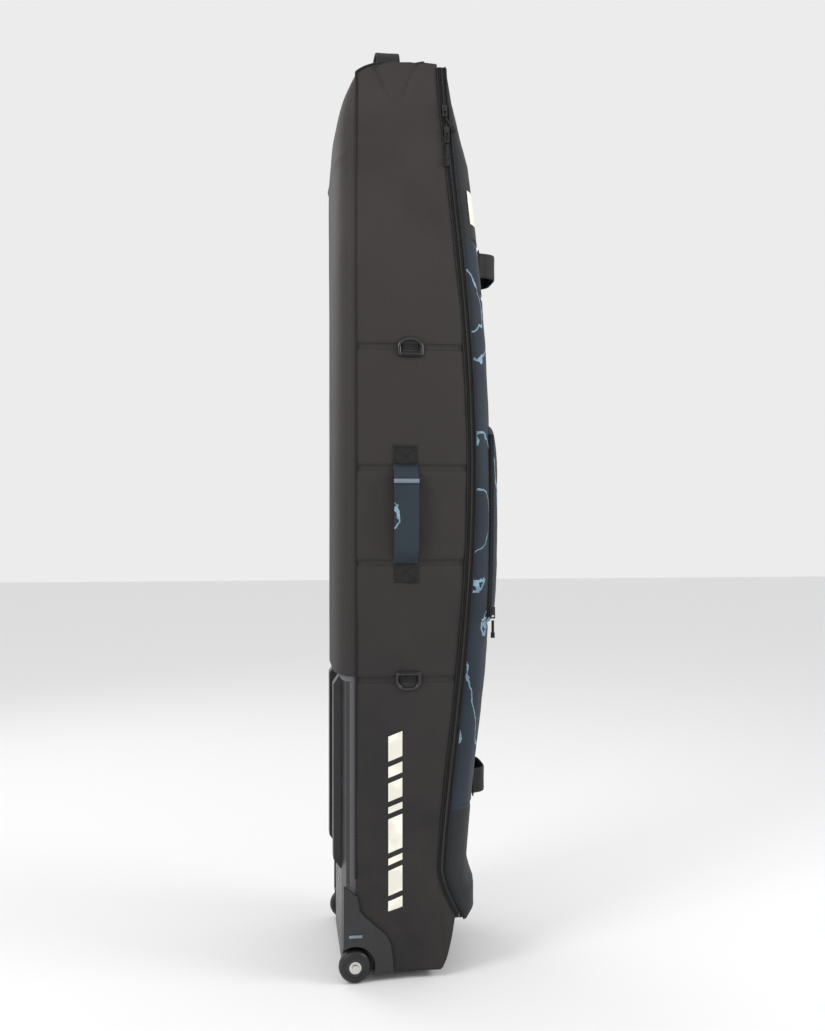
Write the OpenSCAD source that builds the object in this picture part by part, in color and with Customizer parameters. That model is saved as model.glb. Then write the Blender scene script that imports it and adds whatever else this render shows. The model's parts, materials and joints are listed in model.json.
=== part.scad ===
// Wheeled snowboard bag, standing upright on its wheels and base feet.
// +Z is up the bag, +X is towards the lid, -Y is the side that carries the main zip.

/* [Bag] */
// Height of the fabric top above the ground
bag_top = 1690; // [1500:10:1800]
// Distance between the outer faces of the two side panels
bag_w = 320; // [280:10:360]
// Thickness of the padded fabric walls
wall = 5; // [4:1:8]
// How far the zip line bows towards the lid at mid height
zip_bow = 57; // [30:1:70]
// Depth of the lid from the zip to its front face
lid_depth = 54; // [40:1:70]
// Width of one half of the zip tape
tape_w = 8; // [6:1:10]

/* [Wheels] */
// Radius of each wheel
wheel_r = 30; // [26:1:34]
// Width of each wheel
wheel_w = 24; // [20:1:28]
// Radius of each axle
axle_r = 4; // [3:0.5:5]

/* [Webbing] */
// Width of the handle webbing
webbing_w = 46; // [30:1:50]
// Thickness of the handle webbing
webbing_t = 3; // [2:0.5:4]
// Radius of the rod of a D-ring
ring_rod_r = 3.5; // [2.5:0.5:4]

/* [Hidden] */
half_w = bag_w / 2;
gap = 0.3;
seam_x = -127;
back_x = -165;
zip_end_x = 23;
zip_low = 200;
zip_high = bag_top - 8;
lid_low = 104;
chassis_top = 560;
chassis_x = -150;
foot_h = 15;
hub = [-129, wheel_r];
well_r = 37;
web_y = half_w - 20;
wheel_y = half_w;
cheek_t = 6;
well_clear = 3.3;
bearing_r = 11;
bearing_t = 7;
nut_t = 5;
cap_t = 3;
pad_t = 6;
tray_end_x = -88;
handle_z = 858;
handle_x = -36;
handle_len = 173;
ring_x = -27;
ring_z = [1152, 564];
ring_w = 42;
ring_h = 28;
sleeve_r = 5.3;
ring_y = half_w + gap + sleeve_r;
front_handle_z = [1344, 337];
pocket_low = 650;
pocket_high = 1025;
pocket_half_w = 122;
pocket_x = 165;
slider_z = [1606, 1566];
slider_y = half_w + 0.6;
pull_len = [14, 22];
cord_len = [34, 44];
cord_slant = [-34, 0];
pocket_slide_x = 8.4;
strap_z = [1180, 640];
strap_x = back_x + wall + gap + pad_t + gap;
steps = 28;

// Front edge of the side panels: straight at its two ends and bowed between them.
function zip_x(z) =
    let (t = min(1, max(0, (z - zip_low) / (zip_high - zip_low))))
    zip_end_x + zip_bow * pow(sin(180 * t), 1.25);

// Depth of the lid behind its front face, which thins out at the top.
function lid_d(z) = lid_depth * max(0.63, pow(min(1, max(0, (bag_top - z) / 160)), 0.42));
function lid_back(z) = zip_x(z) + 2 * tape_w + 2 * gap;
function lid_front(z) = lid_back(z) + lid_d(z);

// Plan of the domed lid front and of the pocket on it: Y, and X measured from the front face.
lid_plan = [[-158, -30], [-110, -9], [-50, 0], [50, 0], [110, -9], [158, -30]];
pocket_plan = [[-122, -21], [-75, -7], [-25, 0], [25, 0], [75, -7], [122, -21]];
pocket_back_plan = [[122, -12.4], [110, -8], [50, 1], [-50, 1], [-110, -8], [-122, -12.4]];

function span(low, high, n = steps) = [for (i = [0 : n]) low + (high - low) * i / n];

// Back and top outline of the tub, drawn in by the inset o.
function back_curve(o) = [
    for (a = [0 : 7.5 : 90]) [zip_end_x - 8 + (back_x + o - zip_end_x + 8) * pow(sin(a), 0.44),
                              1430 + (bag_top - o - 1430) * pow(cos(a), 0.44)]];

// Outline of a side panel in X and Z, with its back edge on the seam.
function side_outline(o) = concat(
    [[seam_x + o, foot_h + o], [zip_end_x + 7 - o, foot_h + o], [zip_end_x - o, lid_low - 4]],
    [for (z = span(zip_low, zip_high - o)) [zip_x(z) - o, z]],
    [for (p = back_curve(o)) if (p.x > seam_x + o && p.x < zip_end_x - 9) p],
    [[seam_x + o, 1620 - o]]);

// Whole side view of the tub, back dome included.
function tub_outline(o) = concat(
    [[back_x + o, foot_h + o], [zip_end_x, foot_h + o], [zip_end_x, zip_high - o]],
    back_curve(o), [[back_x + o, 1400]]);

// Plan view of the back: flat between two slanted corners.
function plan_outline(o, x0 = back_x) = [
    [200, o - half_w + wall + gap], [seam_x, o - half_w + wall + gap],
    [(seam_x + x0) / 2 - 5 + o, 24 - half_w + o], [x0 + o, 62 - half_w + o],
    [x0 + o, half_w - 62 - o], [(seam_x + x0) / 2 - 5 + o, half_w - 24 - o],
    [seam_x, half_w - wall - gap - o], [200, half_w - wall - gap - o]];

// Draws 2D points given in X and Z, w thick along Y and centred on y.
module side_prism(points, w, y = 0) {
    translate([0, y + w / 2, 0]) rotate([90, 0, 0]) linear_extrude(w) polygon(points);
}

module tub_core(o) {
    intersection() {
        side_prism(tub_outline(o), 400);
        linear_extrude(1800) polygon(plan_outline(o));
    }
}

module tub_wall(low, high) {
    intersection() {
        difference() {
            tub_core(0);
            tub_core(wall);
            intersection() {
                side_prism(tub_outline(wall), 400);
                translate([seam_x, -200, 0]) cube([200, 400, 1800]);
            }
            translate([zip_end_x - 0.01, -200, 0]) cube([100, 400, 1800]);
        }
        translate([-300, -300, low]) cube([600, 600, high - low]);
    }
}

module at_side(side) { if (side > 0) mirror([0, 1, 0]) children(); else children(); }

module well_cut(grow, depth_y) {
    translate([hub.x, -half_w - 40, hub.y]) rotate([-90, 0, 0])
        cylinder(r = well_r + grow, h = 40 + half_w - depth_y, $fn = 64);
}

module side_panel(side) {
    color([0.13, 0.13, 0.14]) at_side(side) difference() {
        side_prism(side_outline(0), wall, -half_w + wall / 2);
        well_cut(well_clear, web_y - 4);
    }
}

module side_padding(side) {
    color([0.3, 0.3, 0.32]) at_side(side) difference() {
        side_prism(side_outline(9), wall - 1, -half_w + wall + gap + (wall - 1) / 2);
        well_cut(well_clear + gap, web_y - 6);
    }
}

// Domed back above the base plate, with a ledge that closes it over the plate.
module back_panel() {
    color([0.13, 0.13, 0.14]) {
        tub_wall(chassis_top + gap, 1520);
        intersection() {
            tub_core(0);
            translate([back_x, -200, chassis_top + gap]) cube([chassis_x - back_x + 4, 400, wall]);
        }
    }
}

module top_panel() { color([0.13, 0.13, 0.14]) tub_wall(1520 + gap, 1800); }

// Foam behind the back: one sheet that steps over the top of the base plate.
module back_padding() {
    ledge_z = chassis_top + wall + 2 * gap;
    color([0.3, 0.3, 0.32]) translate([back_x + wall + gap, -90, 0]) {
        translate([0, 0, ledge_z]) cube([pad_t, 180, 805]);
        translate([0, 0, ledge_z]) cube([chassis_x - back_x + pad_t, 180, pad_t]);
        translate([chassis_x - back_x, 0, 70]) cube([pad_t, 180, ledge_z - 70 + pad_t]);
    }
}

// Lower front of the tub, under the lid.
module toe_panel() {
    toe = [[zip_end_x + gap, 96], [zip_end_x + 26, 92], [zip_end_x + 33, 78],
           [zip_end_x + 28, 50], [zip_end_x + 10 + gap, foot_h], [zip_end_x + 7 + gap, foot_h]];
    color([0.12, 0.12, 0.13]) difference() {
        side_prism(toe, bag_w - 2);
        side_prism([[zip_end_x - 1, 92], [zip_end_x + 22, 87], [zip_end_x + 28, 76],
                    [zip_end_x + 23, 51], [zip_end_x + 2, foot_h - 1]], bag_w - 12);
    }
}

module bottom_panel() {
    color([0.12, 0.12, 0.13]) translate([tray_end_x, gap - half_w + wall, foot_h])
        cube([zip_end_x - tray_end_x, bag_w - 2 * wall - 2 * gap, wall]);
}

module piping(side) {
    color([0.08, 0.08, 0.09]) at_side(side)
        translate([seam_x - 1.8, -half_w - 0.2, 190]) cylinder(r = 1.5, h = 1340, $fn = 16);
}

module base_plate() {
    color([0.11, 0.11, 0.12]) difference() {
        intersection() {
            translate([0, 0, foot_h]) linear_extrude(chassis_top - foot_h) difference() {
                polygon(plan_outline(0, chassis_x));
                polygon(plan_outline(4, chassis_x));
            }
            translate([-300, -300, 0]) cube([300 + seam_x - 0.4, 600, 1000]);
        }
        for (s = [-1, 1]) at_side(s) well_cut(well_clear, web_y - 4);
    }
}

// Moulded floor between the two wheel wells.
module base_tray() {
    color([0.11, 0.11, 0.12]) difference() {
        translate([0, 0, foot_h]) linear_extrude(wall) intersection() {
            polygon(plan_outline(4 + gap, chassis_x));
            translate([chassis_x, -half_w]) square([tray_end_x - gap - chassis_x, bag_w]);
        }
        for (s = [-1, 1]) at_side(s) well_cut(well_clear, web_y - 4);
    }
}

module skid_rails() {
    rail = [[chassis_x - 0.2, 186], [back_x, 206], [back_x, chassis_top - 24], [chassis_x - 0.2, chassis_top - 2]];
    color([0.1, 0.1, 0.11]) for (s = [-1, 1]) side_prism(rail, 34, s * 76);
}

// Outline of the cheek of a wheel housing in X and Z.
cheek = [[-147, 176], [-136, 166], [-125, 158], [-121, 133], [-112, 121], [-72, 86],
         [-64, 70], [-60, 45], [-58, foot_h], [-150, foot_h], [-150, 176]];

module wheel_housing(side) {
    color([0.12, 0.12, 0.13]) at_side(side) {
        difference() {
            union() {
                side_prism(cheek, cheek_t, -half_w - gap - cheek_t / 2);
                difference() {
                    translate([hub.x, -half_w - gap - cheek_t, hub.y]) rotate([-90, 0, 0])
                        cylinder(r = well_r + 3, h = half_w + gap + cheek_t - web_y, $fn = 64);
                    translate([-300, -300, -100]) cube([300 + chassis_x, 600, 300]);
                    translate([-300, -300, -100]) cube([600, 600, 100 + foot_h]);
                }
            }
            well_cut(0, web_y + 3);
            translate([hub.x, -web_y + 10, hub.y]) rotate([90, 0, 0]) cylinder(r = axle_r + 0.05, h = 40, $fn = 32);
        }
    }
}

module housing_inlays() {
    color([0.35, 0.4, 0.46]) for (s = [-1, 1]) at_side(s)
        translate([-140, -half_w - gap - cheek_t - 1.3, 83]) cube([24, 1, 5]);
}

module base_feet() {
    color([0.07, 0.07, 0.07]) for (s = [-1, 1]) translate([6, s * 62, 0])
        cylinder(r = 13, h = foot_h - 0.2, $fn = 48);
}

module base_screws() {
    color("silver") for (s = [-1, 1], z = [150, chassis_top - 60])
        translate([chassis_x - 2.2, s * 40, z]) rotate([0, 90, 0]) cylinder(r = 4, h = 2, $fn = 32);
}

// Stub axle: nut inside the web, rod through the bearings, and a cap outside the wheel.
module axle(side) {
    cap_at = wheel_y + wheel_w / 2 + 0.4 - web_y + gap;
    color("silver") at_side(side) translate([hub.x, gap - web_y, hub.y]) rotate([90, 0, 0]) {
        translate([0, 0, -nut_t]) cylinder(r = 7, h = nut_t, $fn = 6);
        translate([0, 0, -nut_t]) cylinder(r = axle_r, h = cap_at + nut_t + 1, $fn = 48);
        translate([0, 0, cap_at]) cylinder(r = axle_r + 1.6, h = cap_t, $fn = 48);
    }
}

module turned(side, profile) {
    at_side(side) translate([hub.x, -wheel_y, hub.y]) rotate([90, 0, 0])
        rotate_extrude($fn = 96) polygon(profile);
}

module wheel_tyre(side) {
    h = wheel_w / 2;
    color([0.05, 0.05, 0.05]) turned(side, concat([[17, -h], [22, -h]],
        [for (a = [-80 : 20 : 80]) [22 + (wheel_r - 22) * cos(a), h * sin(a) * 0.98]], [[22, h], [17, h]]));
}

module wheel_hub(side) {
    h = wheel_w / 2 - 1;
    seat = h - bearing_t - 0.2;
    in = bearing_r + 0.1;
    color([0.09, 0.09, 0.1]) turned(side, [[in, -h], [16.9, -h], [16.9, h], [in, h],
        [in, seat], [6, seat], [6, -seat], [in, -seat]]);
}

module wheel_bearings(side) {
    h = wheel_w / 2 - 1;
    bore = axle_r + 0.05;
    color("silver") for (y = [-h, h - bearing_t]) turned(side,
        [[bore, y], [bearing_r, y], [bearing_r, y + bearing_t], [bore, y + bearing_t]]);
}

// Strip that follows the zip line from offset a to offset b in front of it.
function strip_outline(a, b) = concat(
    [for (z = span(lid_low + 4, zip_high)) [zip_x(z) + a, z]],
    [for (z = span(zip_high, lid_low + 4)) [zip_x(z) + b, z]]);

// Half of the main zip between offsets a and b: down the near side and over the top.
module zip_tape(a, b) {
    color([0.08, 0.08, 0.09]) {
        side_prism(strip_outline(a, b), 2, -half_w + 1);
        translate([zip_end_x + a, -half_w, zip_high - 4]) cube([b - a, bag_w - 3, 2]);
    }
}

module zip_tape_tub() { zip_tape(gap, tape_w); }
module zip_tape_lid() { zip_tape(tape_w + gap, 2 * tape_w + gap / 2); }

module hinge_strip() {
    color([0.1, 0.1, 0.11]) side_prism(strip_outline(gap, 2 * tape_w - 4), 2, half_w - 1);
}

// Closed solid through plan sections of equal length, one above the other.
module stacked(sections) {
    n = len(sections[0]);
    rows = len(sections);
    polyhedron([for (row = sections) for (p = row) p], concat(
        [[for (i = [0 : n - 1]) i], [for (i = [n - 1 : -1 : 0]) (rows - 1) * n + i]],
        [for (r = [0 : rows - 2]) for (i = [0 : n - 1]) let (j = (i + 1) % n)
            [(r + 1) * n + i, (r + 1) * n + j, r * n + j, r * n + i]]));
}

// Plan section of the lid at height z, drawn in by the inset o, open towards the tub.
function lid_section(z, o) = let (squeeze = (half_w - 2 - o) / (half_w - 2), back = lid_back(z) - o)
    concat([[back, o - half_w + 2, z]],
           [for (p = lid_plan) [lid_front(z) + p.y - o, p.x * squeeze, z]],
           [[back, half_w - 2 - o, z]]);

module lid_shell() {
    top = bag_top - 3;
    color([0.14, 0.16, 0.19]) difference() {
        stacked([for (z = span(lid_low, top)) lid_section(z, 0)]);
        stacked([for (z = span(lid_low + wall, top - wall)) lid_section(z, wall)]);
    }
}

module lid_hem_tab() {
    color([0.08, 0.08, 0.09]) translate([lid_front(lid_low) - 16, -10, lid_low - 6.3]) cube([12, 20, 6]);
}

// Plan section of the pocket: its domed front, and its back a hair in front of the lid.
function pocket_section(z, depth) = concat(
    [for (p = pocket_plan) [pocket_x - depth + p.y, p.x, z]],
    [for (p = pocket_back_plan) [lid_front(z) + p.y, p.x, z]]);

module front_pocket() {
    color([0.15, 0.18, 0.22]) stacked([for (z = span(pocket_low, pocket_high, 12))
        pocket_section(z, 3 * pow(abs(2 * z - pocket_low - pocket_high) / (pocket_high - pocket_low), 6))]);
}

module pocket_zip_tape() {
    low = lid_front(pocket_low + 10) - 8.5;
    high = lid_front(pocket_high - 16) - 8.5;
    color([0.08, 0.08, 0.09]) side_prism(
        [[low, pocket_low + 10], [high, pocket_high - 16], [high + 6, pocket_high - 16], [low + 6, pocket_low + 10]],
        2, -pocket_half_w - 1 - gap);
}

// Webbing loop on a flat base: legs, round shoulders and a flat crown, drawn in its own X and Y.
function loop_outline(len, rise, t) = let (r = min(rise, 16))
    concat([[-len / 2, 0]],
           [for (a = [180 : -15 : 90]) [-len / 2 + r + 2 + r * cos(a), rise - r + r * sin(a)]],
           [for (a = [90 : -15 : 0]) [len / 2 - r - 2 + r * cos(a), rise - r + r * sin(a)]],
           [[len / 2, 0], [len / 2 - t - 0.6, 0]],
           [for (a = [0 : 15 : 90]) [len / 2 - r - 2 + (r - t) * cos(a), rise - r + (r - t) * sin(a)]],
           [for (a = [90 : 15 : 180]) [-len / 2 + r + 2 + (r - t) * cos(a), rise - r + (r - t) * sin(a)]],
           [[-len / 2 + t + 0.6, 0]]);

module webbing_loop(len, rise, w) {
    translate([0, 0, -w / 2]) linear_extrude(w) polygon(loop_outline(len, rise, webbing_t));
}

module front_handle(i) {
    z = front_handle_z[i];
    tallest = max([for (k = [-26 : 4 : 26]) lid_front(z + k)]);
    color([0.1, 0.1, 0.1]) translate([tallest + gap, 0, z]) rotate([0, 0, -90]) webbing_loop(120, 30, 50);
}

module side_handle(side) {
    color([0.2, 0.26, 0.32]) at_side(side) translate([handle_x, -half_w - gap, handle_z])
        rotate([0, 90, 0]) rotate([0, 0, 180]) webbing_loop(handle_len, 24, webbing_w);
}

// Carry loop whose two ends follow the curve of the bag's top.
module top_handle() {
    sunk = 14;
    color([0.1, 0.1, 0.1]) difference() {
        translate([-59, 0, bag_top + gap - sunk]) rotate([0, 0, 90]) rotate([90, 0, 0])
            webbing_loop(170, 66 + sunk, webbing_w);
        tub_core(-gap);
    }
}

// D-ring in its own frame: the bar lies along X at the origin, and the bow rises along +Z.
module d_ring_shape() {
    r = ring_h - 12;
    rotate([0, 90, 0]) cylinder(r = ring_rod_r, h = ring_w, center = true, $fn = 32);
    for (s = [-1, 1]) translate([s * ring_w / 2, 0, 0]) {
        sphere(r = ring_rod_r, $fn = 32);
        cylinder(r = ring_rod_r, h = ring_h - r, $fn = 32);
        translate([0, 0, ring_h - r]) sphere(r = ring_rod_r, $fn = 32);
    }
    for (s = [-1, 1]) translate([s * (ring_w / 2 - r), 0, ring_h - r]) rotate([90, 0, 0])
        rotate([0, 0, s > 0 ? 0 : 90]) rotate_extrude(angle = 90, $fn = 64)
            translate([r, 0]) circle(r = ring_rod_r, $fn = 32);
    translate([0, 0, ring_h]) rotate([0, 90, 0])
        cylinder(r = ring_rod_r, h = ring_w - 2 * r, center = true, $fn = 32);
}

module d_ring(i) {
    color([0.04, 0.04, 0.04]) translate([ring_x - 4 * i, -ring_y, ring_z[i]])
        rotate([0, i == 0 ? 0 : 180, 0]) d_ring_shape();
}

module d_ring_tab(i) {
    color([0.11, 0.11, 0.12]) translate([ring_x - 4 * i, -ring_y, ring_z[i]])
        rotate([0, i == 0 ? 0 : 180, 0]) difference() {
            union() {
                rotate([0, 90, 0]) cylinder(r = sleeve_r, h = 32, center = true, $fn = 48);
                translate([-16, sleeve_r - 1.6, 0]) cube([32, 1.6, 48]);
            }
            rotate([0, 90, 0]) cylinder(r = ring_rod_r + 0.08, h = 40, center = true, $fn = 48);
        }
}

// Zip slider in its own frame: the zip runs along Z and the face away from the bag is -Y.
module slider_shape() {
    translate([-5, -3.4, -8]) cube([10, 3.4, 16]);
    difference() {
        translate([-2, -8, -5]) cube([4, 5, 10]);
        translate([-3, -6.6, -2.6]) cube([6, 3.2, 5.2]);
    }
}

// Pull in its own frame: a wire frame hung through the slider's bridge, reaching down -Z.
module pull_shape(len) {
    difference() {
        translate([-4.5, -6, -len]) cube([9, 1.6, len + 1.6]);
        translate([-2.6, -7, 3 - len]) cube([5.2, 4, len - 3]);
    }
}

// Cord tab below a pull, turned by the slant so that it hangs clear of what is under it.
module pull_cord_shape(len, cord, slant = 0) {
    translate([0, 0, -len - gap]) rotate([0, slant, 0]) translate([-4, -6.5, -cord]) cube([8, 2.6, cord - 3]);
}

module main_slider_at(i) { translate([zip_x(slider_z[i]) + tape_w, -slider_y, slider_z[i]]) children(); }

module main_slider(i) {
    color([0.06, 0.06, 0.06]) main_slider_at(i) rotate([0, i == 0 ? 180 : 0, 0]) slider_shape();
}

module pull(i) { color([0.1, 0.1, 0.1]) main_slider_at(i) pull_shape(pull_len[i]); }

module pull_cord(i) {
    color([0.09, 0.09, 0.09]) main_slider_at(i) pull_cord_shape(pull_len[i], cord_len[i], cord_slant[i]);
}

module pocket_slider_at() {
    z = pocket_low + 24;
    translate([lid_front(z) - 14 + pocket_slide_x, -pocket_half_w - 2 - 2 * gap, z]) children();
}

module pocket_slider() { color([0.06, 0.06, 0.06]) pocket_slider_at() slider_shape(); }
module pocket_pull() { color([0.1, 0.1, 0.1]) pocket_slider_at() pull_shape(14); }
module pocket_pull_cord() { color([0.09, 0.09, 0.09]) pocket_slider_at() pull_cord_shape(14, 36); }

module inner_straps() {
    color([0.07, 0.07, 0.08]) for (z = strap_z, s = [-1, 1])
        translate([strap_x, s * 60 - 26, z - 12.5]) cube([1.6, 52, 25]);
}

// Female half of each buckle: a flat box that is open towards its tongue.
module strap_buckles() {
    color([0.05, 0.05, 0.05]) for (z = strap_z) translate([strap_x, -33.6, z - 17]) difference() {
        cube([9, 30, 34]);
        translate([2, 6, 5]) cube([5, 30, 24]);
    }
}

// Male half of each buckle: the tongue inside the box and the grip beside it.
module strap_tongues() {
    color([0.05, 0.05, 0.05]) for (z = strap_z) translate([strap_x, -3.2, z - 17]) {
        translate([2.3, -22, 5.5]) cube([4.4, 22.1, 23]);
        cube([9, 36.5, 34]);
    }
}

side_panel(-1);  // side_panel_near
side_panel(1);  // side_panel_far
back_panel();
top_panel();
toe_panel();
bottom_panel();
side_padding(-1);  // side_padding_near
side_padding(1);  // side_padding_far
back_padding();
piping(-1);  // piping_near
piping(1);  // piping_far
base_plate();
base_tray();
skid_rails();
wheel_housing(-1);  // wheel_housing_near
wheel_housing(1);  // wheel_housing_far
housing_inlays();
base_feet();
base_screws();
axle(-1);  // axle_near
axle(1);  // axle_far
wheel_tyre(-1);  // wheel_tyre_near
wheel_hub(-1);  // wheel_hub_near
wheel_bearings(-1);  // wheel_bearings_near
wheel_tyre(1);  // wheel_tyre_far
wheel_hub(1);  // wheel_hub_far
wheel_bearings(1);  // wheel_bearings_far
zip_tape_tub();
zip_tape_lid();
hinge_strip();
lid_shell();
lid_hem_tab();
front_pocket();
pocket_zip_tape();
front_handle(0);  // front_handle_upper
front_handle(1);  // front_handle_lower
main_slider(0);  // main_slider_upper
main_slider(1);  // main_slider_lower
pull(0);  // pull_upper
pull(1);  // pull_lower
pull_cord(0);  // pull_upper_cord
pull_cord(1);  // pull_lower_cord
pocket_slider();
pocket_pull();
pocket_pull_cord();
side_handle(-1);  // side_handle_near
side_handle(1);  // side_handle_far
top_handle();
d_ring(0);  // d_ring_upper
d_ring(1);  // d_ring_lower
d_ring_tab(0);  // d_ring_tab_upper
d_ring_tab(1);  // d_ring_tab_lower
inner_straps();
strap_buckles();
strap_tongues();
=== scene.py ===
"""Looks of the wheeled snowboard bag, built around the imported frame. Metres throughout."""
import json
import math

import bpy
import numpy as np
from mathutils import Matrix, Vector, noise


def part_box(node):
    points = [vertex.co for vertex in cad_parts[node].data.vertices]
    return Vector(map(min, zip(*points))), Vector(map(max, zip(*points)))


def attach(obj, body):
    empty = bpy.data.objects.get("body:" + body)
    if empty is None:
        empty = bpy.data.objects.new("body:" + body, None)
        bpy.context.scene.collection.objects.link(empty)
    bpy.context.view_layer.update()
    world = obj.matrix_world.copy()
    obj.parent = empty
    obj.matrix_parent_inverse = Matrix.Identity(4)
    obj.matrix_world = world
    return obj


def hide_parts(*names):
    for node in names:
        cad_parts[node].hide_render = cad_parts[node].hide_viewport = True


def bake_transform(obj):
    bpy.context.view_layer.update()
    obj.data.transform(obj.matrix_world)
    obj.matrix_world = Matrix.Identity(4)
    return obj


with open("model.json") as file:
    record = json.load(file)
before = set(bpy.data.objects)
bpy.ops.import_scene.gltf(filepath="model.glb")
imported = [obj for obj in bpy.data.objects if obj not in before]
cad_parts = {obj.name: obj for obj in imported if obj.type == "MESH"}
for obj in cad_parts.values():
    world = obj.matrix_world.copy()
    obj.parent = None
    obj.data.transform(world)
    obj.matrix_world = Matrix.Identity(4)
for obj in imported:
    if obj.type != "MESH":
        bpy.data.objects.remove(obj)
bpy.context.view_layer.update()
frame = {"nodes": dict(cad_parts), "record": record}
NODES = frame["nodes"]

# Main dimensions, read from the frame
PANEL_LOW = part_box("side_panel_near")[0]
HALF_W = -PANEL_LOW.y
SEAM_X = PANEL_LOW.x
FLOOR_Z = PANEL_LOW.z
BAG_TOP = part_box("top_panel")[1].z
BACK_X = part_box("back_panel")[0].x
CHASSIS_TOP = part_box("base_plate")[1].z
LID_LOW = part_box("lid_shell")[0].z
LID_HALF_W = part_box("lid_shell")[1].y
POCKET_LOW, POCKET_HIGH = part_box("front_pocket")
HUB = (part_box("axle_near")[0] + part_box("axle_near")[1]) / 2

# Shape of the zip line and of the curve that the back takes over the top
ZIP_END_X = 0.023
ZIP_BOW = 0.057
ZIP_LOW = 0.200
ZIP_HIGH = BAG_TOP - 0.008
ZIP_GAP = 0.0166
ZIP_FOOT_Z = 0.116
CURVE_LOW = 1.430
CURVE_POWER = 1 / 0.44
SIDE_SEAMS = (1.166, 0.943, 0.768, 0.553)
PRINT_LOW, PRINT_HIGH = 0.307, 1.366
LID_SEAMS = (PRINT_LOW, 0.650, 1.270, PRINT_HIGH)

# Directions, points inside the bag that its cloth faces away from, and make
X_AXIS = (1, 0, 0)
Y_AXIS = (0, 1, 0)
Z_AXIS = (0, 0, 1)
NEAR = (0, -1, 0)
TUB_MIDDLE = (-0.05, 0, 0.85)
LID_MIDDLE = (0.02, 0, 0.85)
CLOTH_THICK = 0.003
WEAVE_PERIOD = 0.0022
PAPER_GREY = (0.84, 0.84, 0.84, 1)


# ---------------------------------------------------------------- outlines

def smooth(t):
    """0 below 0, 1 above 1 and an S curve between them."""
    t = np.clip(t, 0, 1)
    return t * t * (3 - 2 * t)


def crowded(t, power):
    """Values from -1 to 1 moved towards both ends, which gives a rim more points."""
    return np.sign(t) * (1 - (1 - np.abs(t)) ** power)


def zip_x(z):
    """X of the zip line at height z: bowed, and turned to the front near the floor."""
    t = np.clip((z - ZIP_LOW) / (ZIP_HIGH - ZIP_LOW), 0, 1)
    turn = 0.033 * np.clip((0.206 - z) / 0.09, 0, 1) ** 1.6
    return ZIP_END_X + ZIP_BOW * np.abs(np.sin(np.pi * t)) ** 1.25 + turn


def lid_depth(z):
    """Depth of the lid's dome, drawn in at both ends."""
    fuller = 0.012 * smooth((0.95 - z) / 0.45)
    top = np.clip((BAG_TOP - z) / 0.17, 0, 1) ** 0.75
    foot = np.clip((z - LID_LOW + 0.009) / 0.06, 0, 1) ** 0.5
    return (0.044 + fuller) * top * foot


def lid_point(w, z):
    """Point of the lid's face: w runs from -1 on the zip side to 1 on the hinge side."""
    dome = np.sqrt(np.clip(1 - np.abs(w) ** 3, 0, 1))
    x = zip_x(z) + ZIP_GAP + lid_depth(z) * dome
    return np.stack([x, LID_HALF_W * w + 0 * z, z + 0 * w], axis=-1)


def toe_x(z):
    return 0.030 + 0.0275 * (np.clip(z - FLOOR_Z, 0, 1) / 0.1) ** 0.55


def back_edge_x(z):
    """Back edge of a side panel: the straight seam, then the curve over the top."""
    t = np.clip((z - CURVE_LOW) / (BAG_TOP - CURVE_LOW), 0, 1)
    power = 2 * CURVE_POWER
    curve = 0.015 + (BACK_X - 0.015) * (1 - t ** power) ** (1 / power)
    return np.maximum(SEAM_X, curve)


def front_edge_x(z):
    blend = smooth((z - 0.104) / 0.02)
    return toe_x(z) * (1 - blend) + zip_x(z) * blend


def side_bulge(x, z):
    """How far a side panel stands out: puffed between its seams, flat under the wheel housing."""
    across = (x - back_edge_x(z)) / np.maximum(front_edge_x(z) - back_edge_x(z), 0.01)
    across = np.clip(across, 0, 1)
    puff = 0.0045 * np.sqrt(np.clip(4 * across * (1 - across), 0, 1))
    for seam in SIDE_SEAMS:
        puff = puff - 0.0034 * np.exp(-((z - seam) / 0.006) ** 2)
    toe_seam = 0.026 + 0.011 * (0.169 - z) / 0.143
    lower = smooth((0.175 - z) / 0.01)
    puff = puff - 0.002 * lower * np.exp(-((x - toe_seam) / 0.003) ** 2)
    clear = smooth((z + 1.25 * (x - SEAM_X) - 0.19) / 0.05)
    return puff * clear


# ---------------------------------------------------------------- meshes

def folds(points, size, seed, stretch=(1, 1, 1)):
    """Smooth noise at three sizes for each point, about -1 to 1."""
    flat = points.reshape(-1, 3) * np.array(stretch) / size + seed
    values = np.empty(len(flat))
    for i, p in enumerate(flat):
        q = Vector(p)
        values[i] = noise.noise(q) + 0.45 * noise.noise(q * 2.3) + 0.2 * noise.noise(q * 5.1)
    return values.reshape(points.shape[:-1])


def grid_normals(grid):
    normals = np.cross(np.gradient(grid, axis=0), np.gradient(grid, axis=1))
    length = np.linalg.norm(normals, axis=-1, keepdims=True)
    return normals / np.maximum(length, 1e-12)


def new_object(name, vertices, faces, is_smooth=True):
    mesh = bpy.data.meshes.new(name)
    mesh.from_pydata([tuple(v) for v in vertices], [], faces)
    mesh.update()
    mesh.polygons.foreach_set("use_smooth", [is_smooth] * len(mesh.polygons))
    piece = bpy.data.objects.new(name, mesh)
    bpy.context.scene.collection.objects.link(piece)
    return piece


def grid_object(name, grid, centre, ring=False, keep=None):
    """Sheet over a grid of points, with its normals away from centre."""
    rows, columns = grid.shape[:2]
    normals = grid_normals(grid)
    facing = np.mean(np.sum(normals * (grid - np.array(centre)), axis=-1))
    faces = []
    last = columns if ring else columns - 1
    for r in range(rows - 1):
        for c in range(last):
            if keep is not None and not keep[r, c]:
                continue
            d = (c + 1) % columns
            face = [r * columns + c, (r + 1) * columns + c, (r + 1) * columns + d, r * columns + d]
            faces.append(face if facing > 0 else face[::-1])
    return new_object(name, grid.reshape(-1, 3), faces)


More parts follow.
